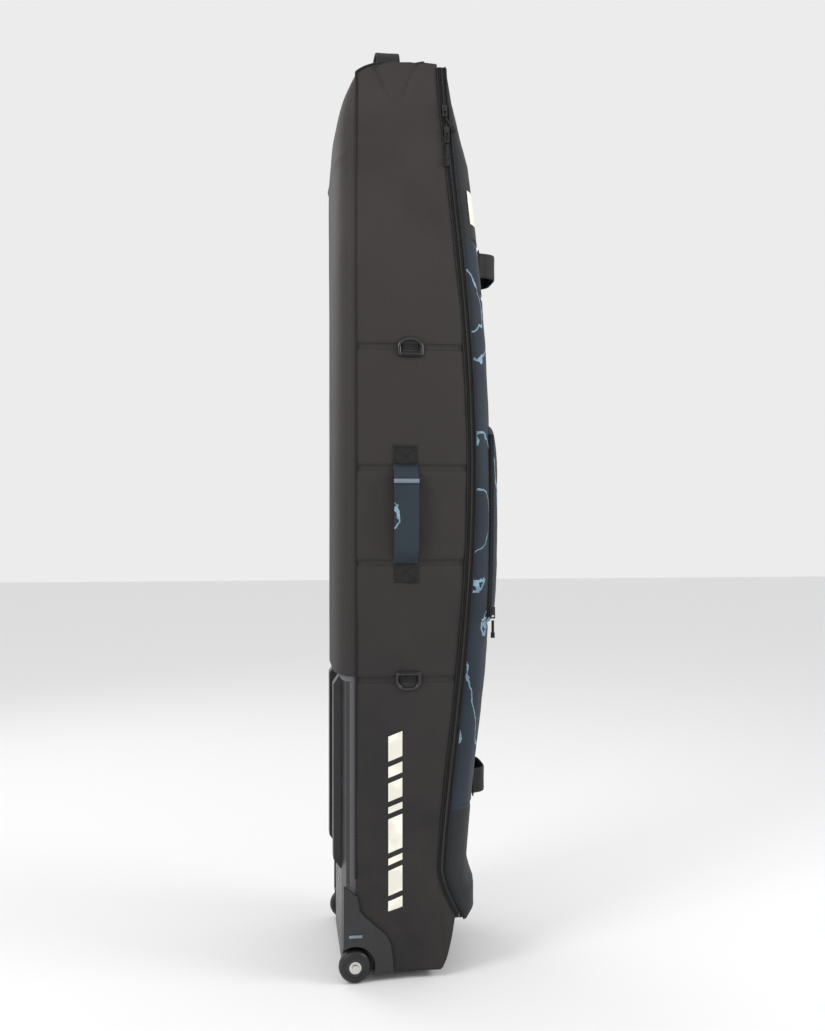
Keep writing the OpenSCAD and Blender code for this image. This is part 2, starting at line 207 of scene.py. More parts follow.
def sweep(name, path, across, section):
    """Closed section swept along a path. across is each point's sideways unit vector."""
    path = np.asarray(path, float)
    across = np.broadcast_to(np.asarray(across, float), path.shape)
    along = np.gradient(path, axis=0)
    along /= np.linalg.norm(along, axis=1, keepdims=True)
    across = across - along * np.sum(across * along, axis=1, keepdims=True)
    across /= np.linalg.norm(across, axis=1, keepdims=True)
    out = np.cross(along, across)
    rings = [p + np.outer(section[:, 0], a) + np.outer(section[:, 1], o)
             for p, a, o in zip(path, across, out)]
    count = len(section)
    vertices = np.concatenate(rings)
    faces = []
    for r in range(len(path) - 1):
        for c in range(count):
            d = (c + 1) % count
            faces.append([r * count + c, r * count + d, (r + 1) * count + d, (r + 1) * count + c])
    faces.append(list(range(count))[::-1])
    faces.append([(len(path) - 1) * count + c for c in range(count)])
    return new_object(name, vertices, faces)


def strap_section(width, thickness):
    """Flat webbing section with soft edges and a slight dip along its middle."""
    half = width / 2
    edge = thickness / 2
    top = [(-half + edge, edge), (-half * 0.8, edge * 1.15), (0, edge * 0.9), (half * 0.8, edge * 1.15),
           (half - edge, edge)]
    side = [(half - edge * 0.2, edge * 0.5), (half - edge * 0.2, -edge * 0.5)]
    low = [(-x, -y) for x, y in top]
    other = [(-x, -y) for x, y in side]
    return np.array(top + side + low + other)


def round_section(radius, count=10):
    angle = np.linspace(0, 2 * np.pi, count, endpoint=False)
    return radius * np.stack([np.cos(angle), np.sin(angle)], axis=1)


def joined(name, pieces):
    """One object from several."""
    bpy.ops.object.select_all(action="DESELECT")
    for piece in pieces:
        piece.select_set(True)
    bpy.context.view_layer.objects.active = pieces[0]
    if len(pieces) > 1:
        bpy.ops.object.join()
    pieces[0].name = name
    return pieces[0]


def blocks(name, centres, along, across, out, size):
    """Many small blocks, such as stitches or zip teeth: size is their length, width and height."""
    corners = np.array([(-1, -1, -1), (1, -1, -1), (1, 1, -1), (-1, 1, -1),
                        (-0.8, -0.7, 1), (0.8, -0.7, 1), (0.8, 0.7, 1), (-0.8, 0.7, 1)]) / 2
    quads = [(3, 2, 1, 0), (4, 5, 6, 7), (0, 1, 5, 4), (1, 2, 6, 5), (2, 3, 7, 6), (3, 0, 4, 7)]
    centres = np.asarray(centres, float)
    along, across, out = (np.broadcast_to(np.asarray(v, float), centres.shape) for v in (along, across, out))
    vertices = []
    faces = []
    for i, centre in enumerate(centres):
        for corner in corners * np.array(size):
            vertices.append(centre + along[i] * corner[0] + across[i] * corner[1] + out[i] * corner[2])
        faces += [[8 * i + q for q in quad] for quad in quads]
    return new_object(name, vertices, faces, is_smooth=False)


def resampled(path, step):
    """Points every step along a path, with the direction at each."""
    path = np.asarray(path, float)
    lengths = np.concatenate([[0], np.cumsum(np.linalg.norm(np.diff(path, axis=0), axis=1))])
    places = np.arange(step / 2, lengths[-1], step)
    points = np.stack([np.interp(places, lengths, path[:, k]) for k in range(3)], axis=1)
    along = np.gradient(points, axis=0) if len(points) > 1 else np.ones((1, 3))
    return points, along / np.linalg.norm(along, axis=1, keepdims=True)


def stitches(name, path, out, lift=0.0004, step=0.0046):
    """Row of thread stitches along a path that lies on a surface facing out."""
    out = np.asarray(out, float)
    points, along = resampled(np.asarray(path) + out * lift, step)
    across = np.cross(along, out)
    across /= np.linalg.norm(across, axis=1, keepdims=True)
    return blocks(name, points, along, across, out, (step * 0.68, 0.0009, 0.0007))


def box_stitch(name, centre, right, up, out, width, height):
    """Sewn box with a cross in it."""
    centre, right, up = (np.array(v, float) for v in (centre, right, up))
    corner = [centre + right * width / 2 * a + up * height / 2 * b for a, b in
              ((-1, -1), (1, -1), (1, 1), (-1, 1))]
    lines = [(0, 1), (1, 2), (2, 3), (3, 0), (0, 2), (1, 3)]
    rows = [stitches(f"{name}_{k}", [corner[a], corner[b]], out, step=0.0038)
            for k, (a, b) in enumerate(lines)]
    return joined(name, rows)


# ---------------------------------------------------------------- materials

def nodes_of(name, rough, metallic=0.0, sheen=0.0, coat=0.0, gloss=0.5):
    material = bpy.data.materials.new(name)
    material.use_nodes = True
    tree = material.node_tree
    shader = tree.nodes["Principled BSDF"]
    shader.inputs["Roughness"].default_value = rough
    shader.inputs["Metallic"].default_value = metallic
    shader.inputs["Sheen Weight"].default_value = sheen
    shader.inputs["Sheen Roughness"].default_value = 0.5
    shader.inputs["Coat Weight"].default_value = coat
    shader.inputs["Specular IOR Level"].default_value = gloss
    return material, tree, shader


def add(tree, kind, links=(), **values):
    """New node with its properties and sockets set, and with other sockets linked to its inputs."""
    node = tree.nodes.new(kind)
    for key, value in values.items():
        if hasattr(node, key):
            setattr(node, key, value)
        else:
            node.inputs[key.replace("_", " ")].default_value = value
    for target, source in links:
        tree.links.new(source, node.inputs[target])
    return node


def place(tree, scale=(1, 1, 1)):
    coordinates = add(tree, "ShaderNodeTexCoord")
    mapping = add(tree, "ShaderNodeMapping", [("Vector", coordinates.outputs["Object"])])
    mapping.inputs["Scale"].default_value = scale
    return mapping.outputs["Vector"]


def mix(tree, factor, low, high):
    """Colour between low and high, each a colour or a socket."""
    node = add(tree, "ShaderNodeMix", data_type="RGBA")
    if isinstance(factor, float):
        node.inputs[0].default_value = factor
    else:
        tree.links.new(factor, node.inputs[0])
    for index, colour in ((6, low), (7, high)):
        if isinstance(colour, tuple):
            node.inputs[index].default_value = (*colour, 1)
        else:
            tree.links.new(colour, node.inputs[index])
    return node.outputs[2]


def maths(tree, operation, a, b=0.0):
    node = add(tree, "ShaderNodeMath", operation=operation)
    for index, value in enumerate((a, b)):
        if isinstance(value, (int, float)):
            node.inputs[index].default_value = value
        else:
            tree.links.new(value, node.inputs[index])
    return node.outputs[0]


def ranged(tree, value, low, high):
    node = add(tree, "ShaderNodeMapRange", [("Value", value)], From_Min=low, From_Max=high)
    return node.outputs["Result"]


def weave(tree, period):
    """Height of a fine plain weave from two crossed sets of threads."""
    scale = 0.314 / period
    one = add(tree, "ShaderNodeTexWave", [("Vector", place(tree))], Scale=scale, bands_direction="DIAGONAL")
    two = add(tree, "ShaderNodeTexWave", [("Vector", place(tree, (1, 1, -1)))], Scale=scale,
              bands_direction="DIAGONAL")
    return maths(tree, "MAXIMUM", one.outputs["Fac"], two.outputs["Fac"])


def bump(tree, shader, height, strength, distance):
    node = add(tree, "ShaderNodeBump", [("Height", height)], Strength=strength, Distance=distance)
    tree.links.new(node.outputs["Normal"], shader.inputs["Normal"])


def noise_of(tree, scale, detail=4.0, stretch=(1, 1, 1)):
    node = add(tree, "ShaderNodeTexNoise", [("Vector", place(tree, stretch))], Scale=scale, Detail=detail)
    return node.outputs["Fac"]


def cloth(name, low, high, rough=0.68, period=WEAVE_PERIOD, sheen=0.02, strength=0.5):
    """Woven fabric whose colour runs from low at the floor to high at the top of the bag: painted light,
    lighter and warmer towards the top as if lit from above.
    """
    material, tree, shader = nodes_of(name, rough, sheen=sheen, gloss=0.22)
    height = add(tree, "ShaderNodeSeparateXYZ", [("Vector", place(tree))]).outputs["Z"]
    # Painted light: the colour brightens and warms with height, standing in for light falling from above.
    base = mix(tree, ranged(tree, height, 0.2, 1.5), low, high)
    darker = mix(tree, ranged(tree, noise_of(tree, 9), 0.35, 0.7), base, tuple(0.75 * c for c in high))
    threads = weave(tree, period)
    # Painted highlight: the raised threads are lightened in the colour.
    wear_and_thread_highlight = mix(tree, maths(tree, "MULTIPLY", threads, 0.3), darker, tuple(1.6 * c + 0.004 for c in high))
    tree.links.new(wear_and_thread_highlight, shader.inputs["Base Color"])
    fuzz = maths(tree, "ADD", threads, maths(tree, "MULTIPLY", noise_of(tree, 300), 0.6))
    bump(tree, shader, fuzz, strength, 0.0005)
    return material


def printed(name, ground, line, ends):
    """Fabric with pale contour lines between its two plain ends."""
    material, tree, shader = nodes_of(name, 0.66, sheen=0.02, gloss=0.22)
    height = add(tree, "ShaderNodeSeparateXYZ", [("Vector", place(tree))]).outputs["Z"]
    rough_edge = maths(tree, "MULTIPLY", noise_of(tree, 55, 2), 0.035)
    hills = maths(tree, "ADD", noise_of(tree, 5.0, 1.2, (1, 1, 0.8)), rough_edge)
    hills = maths(tree, "MULTIPLY", hills, 9.0)
    step = maths(tree, "ABSOLUTE", maths(tree, "SUBTRACT", maths(tree, "FRACT", hills), 0.5))
    contour = maths(tree, "LESS_THAN", step, 0.032)
    ink = mix(tree, ranged(tree, noise_of(tree, 60), 0.3, 0.6), line, tuple(0.6 * c for c in line))
    tinted = mix(tree, ranged(tree, noise_of(tree, 4), 0.35, 0.65), ground, tuple(0.55 * c for c in ground))
    pattern = mix(tree, contour, tinted, ink)
    inside = maths(tree, "MULTIPLY", maths(tree, "GREATER_THAN", height, PRINT_LOW),
                   maths(tree, "LESS_THAN", height, PRINT_HIGH))
    threads = weave(tree, WEAVE_PERIOD)
    both = mix(tree, inside, ends, pattern)
    # Painted highlight: the raised threads are lightened in the colour.
    wear_and_thread_highlight = mix(tree, maths(tree, "MULTIPLY", threads, 0.22), both, tuple(1.5 * c + 0.006 for c in ground))
    tree.links.new(wear_and_thread_highlight, shader.inputs["Base Color"])
    bump(tree, shader, threads, 0.3, 0.0005)
    return material


def webbing(name, colour, rough=0.6):
    """Ribbed webbing, with painted shade darkening the grooves between its ribs."""
    material, tree, shader = nodes_of(name, rough, sheen=0.02, gloss=0.3)
    ribs = weave(tree, 0.0034)
    speckle = ranged(tree, noise_of(tree, 420, 2), 0.45, 0.75)
    wear_and_thread_highlight = mix(tree, speckle, colour, tuple(1.8 * c + 0.004 for c in colour))
    # Painted shade: the grooves between the ribs are darkened in the colour.
    shade = mix(tree, maths(tree, "MULTIPLY", ribs, 0.5), tuple(0.6 * c for c in colour), wear_and_thread_highlight)
    tree.links.new(shade, shader.inputs["Base Color"])
    bump(tree, shader, ribs, 0.6, 0.0007)
    return material


def plastic(name, colour, rough, grain=0.0004, coat=0.0):
    """Moulded plastic with a fine grain and rubbed, paler patches."""
    material, tree, shader = nodes_of(name, rough, coat=coat)
    rubbed = ranged(tree, noise_of(tree, 22, 8), 0.5, 0.8)
    paler = mix(tree, rubbed, colour, tuple(1.5 * c + 0.003 for c in colour))
    tree.links.new(paler, shader.inputs["Base Color"])
    rougher = maths(tree, "ADD", maths(tree, "MULTIPLY", rubbed, 0.12), rough)
    tree.links.new(rougher, shader.inputs["Roughness"])
    bump(tree, shader, noise_of(tree, 900, 2), 0.35, grain)
    return material


def metal(name, colour, rough):
    material, tree, shader = nodes_of(name, rough, metallic=1.0)
    streak = noise_of(tree, 260, 4, (1, 6, 1))
    tree.links.new(mix(tree, streak, tuple(0.8 * c for c in colour), colour), shader.inputs["Base Color"])
    bump(tree, shader, streak, 0.15, 0.0002)
    return material


# The shell cloth's lighter, warmer top colour is painted light from above.
BLACK_CLOTH = cloth("black_cloth", (0.0105, 0.011, 0.0125), (0.036, 0.0315, 0.030))
PRINT_CLOTH = printed("print_cloth", (0.020, 0.030, 0.044), (0.30, 0.47, 0.60), (0.016, 0.0155, 0.0155))
LINING = cloth("lining_cloth", (0.10, 0.10, 0.11), (0.12, 0.12, 0.13), 0.85, 0.0035, 0.1, 0.6)
BLACK_WEBBING = webbing("black_webbing", (0.012, 0.012, 0.013))
BLUE_WEBBING = printed("blue_webbing", (0.026, 0.038, 0.052), (0.30, 0.47, 0.60), (0.02, 0.02, 0.02))
TAPE = webbing("zip_tape_cloth", (0.007, 0.007, 0.008), 0.55)
MOULDED = plastic("moulded_plastic", (0.014, 0.0145, 0.016), 0.38)
HARDWARE = plastic("hardware_plastic", (0.007, 0.007, 0.008), 0.25, 0.0001, 0.3)
TYRE = plastic("tyre_rubber", (0.006, 0.006, 0.0065), 0.42, 0.0003)
STEEL = metal("bright_steel", (0.72, 0.70, 0.66), 0.28)
INLAY = plastic("blue_inlay", (0.16, 0.20, 0.25), 0.45)
RUBBER = plastic("foot_rubber", (0.02, 0.02, 0.02), 0.8, 0.0006)
CREAM = plastic("cream_print", (0.80, 0.77, 0.67), 0.6)
THREAD = webbing("thread", (0.022, 0.022, 0.024), 0.7)
FINISHES = {"shell_fabric": BLACK_CLOTH, "print_fabric": PRINT_CLOTH, "lining": LINING,
            "webbing": BLACK_WEBBING, "print_webbing": BLUE_WEBBING, "zip_tape": TAPE,
            "moulded_plastic": MOULDED, "hardware": HARDWARE, "tyre": TYRE, "steel": STEEL,
            "inlay": INLAY, "rubber": RUBBER}


def finish_piece(piece, body, slot, material=None, replaces=(), thickness=0.0, blended=False):
    """Gives a new piece its material, taken from its slot unless one is given, its thickness and its body.
    """
    piece.data.materials.clear()
    piece.data.materials.append(material or FINISHES[slot])
    if thickness:
        piece.data.materials.append(LINING)
        shell = piece.modifiers.new("thickness", "SOLIDIFY")
        shell.thickness = thickness
        shell.offset = -1
        shell.material_offset = 1
        shell.material_offset_rim = 0
    if blended:
        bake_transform(piece)
    else:
        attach(piece, body)
    if replaces:
        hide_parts(*replaces)
    return piece


# ---------------------------------------------------------------- side panels

def side_y(x, z, side):
    """Y of a side panel's outer face, folds included."""
    flat = np.stack([x, 0 * x, z], axis=-1)
    broad = 0.0024 * folds(flat, 0.15, 3 + side, (1.8, 1, 0.5))
    fine = 0.0011 * folds(flat, 0.05, 9 + side, (1, 1, 0.5))
    high = smooth((z - 1.56) / 0.08)
    vee = 0.0045 * high * np.exp(-((np.abs(x + 0.055) - (z - 1.60) * 0.45) / 0.008) ** 2)
    calm = smooth((z + 1.25 * (x - SEAM_X) - 0.19) / 0.05)
    return side * (HALF_W + side_bulge(x, z) + (broad + fine) * calm - vee)


def side_panel(name, side):
    rows = np.concatenate([np.linspace(FLOOR_Z, 1.60, 400), np.linspace(1.603, BAG_TOP - 0.0002, 60)])
    t = smooth(np.linspace(0, 1, 66)) * 0.35 + np.linspace(0, 1, 66) * 0.65
    z, u = np.meshgrid(rows, t, indexing="ij")
    x = back_edge_x(z) * (1 - u) + front_edge_x(z) * u
    grid = np.stack([x, side_y(x, z, side), z], axis=-1)
    middle = (grid[:-1, :-1] + grid[1:, 1:]) / 2
    keep = np.hypot(middle[..., 0] - HUB.x, middle[..., 2] - HUB.z) > 0.043
    panel = grid_object(f"side_cloth_{name}", grid, TUB_MIDDLE, keep=keep)
    finish_piece(panel, "tub", "shell_fabric", replaces=[f"side_panel_{name}"], thickness=CLOTH_THICK)
    for k, seam in enumerate(SIDE_SEAMS):
        for j, lift in enumerate((0.0052, -0.0052)):
            height = seam + lift
            line = np.linspace(SEAM_X + 0.004, zip_x(height) - 0.004, 40)
            path = np.stack([line, side_y(line, np.full(40, height), side), np.full(40, height)], axis=1)
            row = stitches(f"side_stitch_{name}_{k}{'ab'[j]}", path, (0, side, 0))
            finish_piece(row, "tub", "webbing", THREAD)


def side_piping(name, side):
    z = np.concatenate([np.linspace(0.19, 1.55, 120), np.linspace(1.56, BAG_TOP - 0.0005, 60)])
    path = np.stack([back_edge_x(z), np.full(len(z), side * (HALF_W + 0.0002)), z], axis=1)
    cord = sweep(f"piping_{name}_cord", path, Y_AXIS, round_section(0.0024))
    finish_piece(cord, "tub", "zip_tape", replaces=[f"piping_{name}"])


def side_lining(name, side):
    """Quilted foam against the inside of a side panel."""
    z, u = np.meshgrid(np.linspace(0.03, 1.655, 260), np.linspace(0, 1, 40), indexing="ij")
    x = (back_edge_x(z) + 0.009) * (1 - u) + (front_edge_x(z) - 0.009) * u
    diamonds = np.abs(np.sin(np.pi * (x + z) / 0.07)) * np.abs(np.sin(np.pi * (x - z) / 0.07))
    grid = np.stack([x, side * (HALF_W - 0.0062 - 0.0022 * np.sqrt(diamonds)), z], axis=-1)
    middle = (grid[:-1, :-1] + grid[1:, 1:]) / 2
    keep = np.hypot(middle[..., 0] - HUB.x, middle[..., 2] - HUB.z) > 0.045
    sheet = grid_object(f"side_quilt_{name}", grid, (-0.05, 2 * side, 0.85), keep=keep)
    finish_piece(sheet, "tub", "lining", replaces=[f"side_padding_{name}"])


def seam_tapes():
    """Tape inside the bag over the seams between the base plate and the cloth around it."""
    inset = 0.0053
    tapes = []
    for side in (-1, 1):
        z = np.linspace(FLOOR_Z + 0.115, CHASSIS_TOP + 0.01, 40)
        path = np.stack([np.full(40, SEAM_X), np.full(40, side * (HALF_W - inset)), z], axis=1)
        tapes.append(sweep(f"seam_tape_{side}", path, X_AXIS, strap_section(0.022, 0.0014)))
    tau = np.linspace(-1, 1, 80)
    dome = (1 - np.abs(tau) ** 8) ** 0.6
    x = SEAM_X * (1 - dome) + (BACK_X + 0.0125) * dome
    path = np.stack([x, (HALF_W - inset) * tau, np.full(80, CHASSIS_TOP)], axis=1)
    tapes.append(sweep("seam_tape_top", path, Z_AXIS, strap_section(0.022, 0.0014)))
    finish_piece(joined("seam_tapes", tapes), "tub", "lining")


# ---------------------------------------------------------------- back, base and toe

def back_shell():
    """Back dome and top in one sheet, from the base plate over to the zip."""
    power = 2 * CURVE_POWER
    low = np.linspace(CHASSIS_TOP + 0.0003, CURVE_LOW, 170, endpoint=False)
    angle = np.linspace(0, np.pi / 2, 110)
    x_mid = np.concatenate([np.full(170, BACK_X), 0.015 + (BACK_X - 0.015) * np.cos(angle) ** (2 / power)])
    z_mid = np.concatenate([low, CURVE_LOW + (BAG_TOP - CURVE_LOW) * np.sin(angle) ** (2 / power)])
    x_mid = np.append(x_mid, ZIP_END_X)
    z_mid = np.append(z_mid, BAG_TOP - 0.006)
    tau = np.linspace(-1, 1, 90)
    w = crowded(tau, 1.8)
    dome = (1 - np.abs(w) ** 5) ** 0.6
    edge_x = np.maximum(x_mid, SEAM_X)[:, None]
    x = edge_x * (1 - dome) + x_mid[:, None] * dome
    y = np.broadcast_to(HALF_W * w, x.shape)
    z = np.broadcast_to(z_mid[:, None], x.shape)
    grid = np.stack([x, y, z], axis=-1)
    loose = dome[None, :] * (0.35 + smooth((z - 1.2) / 0.4))
    crease = 0.0022 * folds(grid, 0.15, 21, (1, 1, 0.6)) - 0.002 * np.exp(-((z - 1.52) / 0.005) ** 2)
    grid = grid - grid_normals(grid) * (crease * loose)[..., None]
    sheet = grid_object("back_cloth", grid, (-0.05, 0, 1.0))
    finish_piece(sheet, "tub", "shell_fabric", replaces=["back_panel", "top_panel"], thickness=CLOTH_THICK)


def back_lining():
    z, u = np.meshgrid(np.linspace(0.07, 1.37, 200), np.linspace(-0.09, 0.09, 34), indexing="ij")
    step = smooth((z - CHASSIS_TOP - 0.005) / 0.01)
    quilt = np.sqrt(np.abs(np.sin(np.pi * (u + z) / 0.07)) * np.abs(np.sin(np.pi * (u - z) / 0.07)))
    x = -0.1412 * (1 - step) - 0.1552 * step + 0.0022 * quilt
    sheet = grid_object("back_quilt", np.stack([x, u, z], axis=-1), (-0.5, 0, 0.8))
    finish_piece(sheet, "tub", "lining", replaces=["back_padding"], thickness=0.002)


def toe():
    """Rounded lower front below the lid, with its lip under the lid."""
    z_face = np.linspace(FLOOR_Z + 0.001, ZIP_FOOT_Z - 0.006, 40)
    x_face = toe_x(z_face)
    turn = np.linspace(0, np.pi / 2, 10)[1:]
    x_lip = x_face[-1] - 0.006 * (1 - np.cos(turn))
    z_lip = z_face[-1] + 0.004 * np.sin(turn)
    x_in = np.linspace(x_lip[-1], ZIP_END_X, 12)[1:]
    x_all = np.concatenate([x_face, x_lip, x_in])
    z_all = np.concatenate([z_face, z_lip, np.full(11, z_lip[-1])])
    tau = np.linspace(-1, 1, 70)
    w = crowded(tau, 1.6)
    round_off = 0.007 * (1 - np.sqrt(1 - np.abs(w) ** 8))
    x = x_all[:, None] - round_off[None, :]
    y = np.broadcast_to((HALF_W - 0.001) * w, x.shape)
    z = np.broadcast_to(z_all[:, None], x.shape)
    grid = np.stack([x, y, z], axis=-1)
    grid = grid + grid_normals(grid) * (0.0015 * folds(grid, 0.07, 33))[..., None]
    sheet = grid_object("toe_cloth", grid, (-0.05, 0, 0.05))
    finish_piece(sheet, "tub", "shell_fabric", replaces=["toe_panel"], thickness=CLOTH_THICK)


def bottom():
    low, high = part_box("bottom_panel")
    x, y = np.meshgrid(np.linspace(low.x, high.x + 0.008, 30), np.linspace(low.y, high.y, 70), indexing="ij")
    z = low.z + 0.0012 * (1 - np.abs(np.sin(np.pi * (y - low.y) / 0.0774)) ** 0.4)
    sheet = grid_object("bottom_cloth", np.stack([x, y, z], axis=-1), (-0.03, 0, 0.3))
    finish_piece(sheet, "tub", "shell_fabric", replaces=["bottom_panel"], thickness=0.004)


# ---------------------------------------------------------------- lid

def lid_face(w, z):
    """The lid's face with its seams and folds."""
    grid = lid_point(w, z)
    seam = sum(np.exp(-((z - s) / 0.005) ** 2) for s in LID_SEAMS)
    puff = 0.0025 * folds(grid, 0.17, 41, (1, 1, 0.55)) + 0.0009 * folds(grid, 0.05, 55) - 0.0026 * seam
    ease = np.clip((1 - np.abs(w)) / 0.12, 0, 1) * np.clip((BAG_TOP - z) / 0.06, 0, 1)
    return grid, puff * ease


def lid():
    rows = np.concatenate([np.linspace(LID_LOW + 0.001, 1.52, 330), np.linspace(1.523, BAG_TOP - 0.003, 60)])
    tau = np.linspace(-1, 1, 120)
    w_row = crowded(tau, 2.2)
    z, w = np.meshgrid(rows, w_row, indexing="ij")
    grid, puff = lid_face(w, z)
    normals = grid_normals(grid)
    normals *= np.sign(np.sum(normals * (grid - np.array(LID_MIDDLE)), axis=-1, keepdims=True))
    grid = grid + normals * puff[..., None]
    foot = grid[0].copy()
    caps = []
    for k in range(8):
        ring = foot.copy()
        ring[:, 0] = zip_x(LID_LOW) + ZIP_GAP + (foot[:, 0] - zip_x(LID_LOW) - ZIP_GAP) * k / 8
        caps.append(ring)
    grid = np.concatenate([np.array(caps), grid])
    sheet = grid_object("lid_cloth", grid, LID_MIDDLE)
    finish_piece(sheet, "lid", "print_fabric", replaces=["lid_shell"], thickness=CLOTH_THICK, blended=True)
    for k, seam in enumerate(LID_SEAMS):
        w = np.linspace(-0.93, 0.7, 90)
        z = np.full(90, seam + 0.006)
        points, puff = lid_face(w, z)
        normal = np.stack([np.ones(90), w ** 3, 0 * w], axis=1)
        normal /= np.linalg.norm(normal, axis=1, keepdims=True)
        spots, along = resampled(points + normal * (puff + 0.0006)[:, None], 0.0046)
        facing = np.stack([np.interp(spots[:, 1], points[:, 1], normal[:, i]) for i in range(3)], axis=1)
        across = np.cross(along, facing)
        row = blocks(f"lid_stitch_{k}", spots, along, across, facing, (0.0031, 0.0009, 0.0007))
        finish_piece(row, "lid", "webbing", THREAD)


def pocket():
    """Puffed pocket on the lid, with its own edge wall."""
    half = 0.122
    low, high = POCKET_LOW.z, POCKET_HIGH.z
    v, u = np.meshgrid(np.linspace(-1, 1, 130), np.linspace(-1, 1, 100), indexing="ij")
    squash_u = crowded(u, 1.7)
    squash_v = crowded(v, 1.5)
    y = half * squash_u
    z = (low + high) / 2 + (high - low) / 2 * squash_v
    base = lid_point(y / LID_HALF_W, z)
    rise = (1 - np.abs(squash_u) ** 10) ** 0.5 * (1 - np.abs(squash_v) ** 14) ** 0.5
    crown = 0.011 + 0.010 * (1 - squash_u ** 2) * (1 - squash_v ** 4)
    grid = base.copy()
    grid[..., 0] += rise * crown + 0.0015 * rise * folds(base, 0.07, 63) - 0.001
    sheet = grid_object("pocket_cloth", grid, (0.0, 0, 0.84))
    finish_piece(sheet, "lid", "print_fabric", replaces=["front_pocket"])
    z_line = np.linspace(low + 0.012, high - 0.016, 60)
    x_line = lid_point(np.full(60, -half / LID_HALF_W), z_line)[:, 0] + 0.004
    path = np.stack([x_line, np.full(60, -half - 0.0015), z_line], axis=1)
    tape = sweep("pocket_zip", path, X_AXIS, strap_section(0.010, 0.0016))
    points, along = resampled(path - np.array((0, 0.0012, 0)), 0.003)
    teeth = blocks("pocket_teeth", points, along, X_AXIS, NEAR, (0.0018, 0.004, 0.0012))
    finish_piece(tape, "lid", "zip_tape", replaces=["pocket_zip_tape"])
    finish_piece(teeth, "lid", "hardware")


# ---------------------------------------------------------------- main zip

def zip_ribbon(name, offset, width, body, replaced, blended):
    """Half of the zip: down the near side and over the top."""
    z = np.concatenate([np.linspace(ZIP_FOOT_Z - 0.006, 1.60, 220), np.linspace(1.605, BAG_TOP - 0.006, 20)])
    path = np.stack([zip_x(z) + offset, np.full(len(z), -HALF_W - 0.0006), z], axis=1)
    near = sweep(f"{name}_near", path, X_AXIS, strap_section(width, 0.0018))
    y = np.linspace(-HALF_W + 0.001, HALF_W - 0.003, 60)
    over = np.stack([np.full(60, ZIP_END_X + offset), y, np.full(60, BAG_TOP - 0.006)], axis=1)
    top = sweep(f"{name}_top", over, X_AXIS, strap_section(width, 0.0018))
    finish_piece(joined(name, [near, top]), body, "zip_tape", replaces=[replaced], blended=blended)


def zip_teeth(name, shift, start, body):
    z = np.linspace(ZIP_FOOT_Z, BAG_TOP - 0.008, 400)
    path = np.stack([zip_x(z) + 0.0083 + shift, np.full(400, -HALF_W - 0.0019), z], axis=1)
    points, along = resampled(path, 0.0017)
    across = np.cross(along, NEAR)
    every = slice(start, None, 2)
    teeth = blocks(name, points[every], along[every], across[every], NEAR, (0.0021, 0.0042, 0.0016))
    finish_piece(teeth, body, "hardware")


def zip_cord(name, offset, body):
    """Raised line along one edge of the zip."""
    z = np.linspace(ZIP_FOOT_Z, BAG_TOP - 0.008, 240)
    path = np.stack([zip_x(z) + offset, np.full(240, -HALF_W - 0.0012), z], axis=1)
    finish_piece(sweep(name, path, Y_AXIS, round_section(0.0019, 8)), body, "zip_tape")


def hinge():
    """Cloth strip that joins the lid to the far side."""
    z = np.linspace(ZIP_FOOT_Z - 0.006, BAG_TOP - 0.008, 240)
    path = np.stack([zip_x(z) + ZIP_GAP / 2, np.full(240, HALF_W - 0.0012), z], axis=1)
    strip = sweep("hinge_cloth", path, X_AXIS, strap_section(ZIP_GAP + 0.004, 0.002))
    finish_piece(strip, "tub", "shell_fabric", replaces=["hinge_strip"])


# ---------------------------------------------------------------- handles and rings

def loop_path(length, rise, foot=0.026, count=40):
    """Side view of a webbing handle: flat feet, legs that lean in and a soft crown."""
    half = length / 2
    t = np.linspace(-1, 1, count)
    along = half * t
    height = rise * (1 - np.abs(t) ** 5) ** 0.6
    feet = np.linspace(half + foot, half + 0.004, 5)
    x = np.concatenate([-feet, along, feet[::-1]])
    y = np.concatenate([np.full(5, 0.0012), np.maximum(height, 0.0012), np.full(5, 0.0012)])
    return x, y


def front_handle(name, node):
    low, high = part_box(node)
    z = (low.z + high.z) / 2
    base = float(lid_point(np.array([0.0]), np.array([z]))[0, 0])
    run, rise = loop_path(0.118, high.x - base - 0.003)
    bow = np.array([float(lid_point(np.array([v / LID_HALF_W]), np.array([z]))[0, 0]) for v in run])
    path = np.stack([np.minimum(bow, base) + rise, run, np.full(len(run), z)], axis=1)
    strap = sweep(f"{name}_webbing", path, Z_AXIS, strap_section(0.048, 0.0026))
    finish_piece(strap, "lid", "webbing", replaces=[node])
    for k, side in enumerate((-1, 1)):
        spot = lid_point(np.array([side * 0.072 / LID_HALF_W]), np.array([z]))[0] + np.array((0.0032, 0, 0))
        box = box_stitch(f"{name}_sewn_{k}", spot, Y_AXIS, Z_AXIS, X_AXIS, 0.018, 0.038)
        finish_piece(box, "lid", "webbing", THREAD)


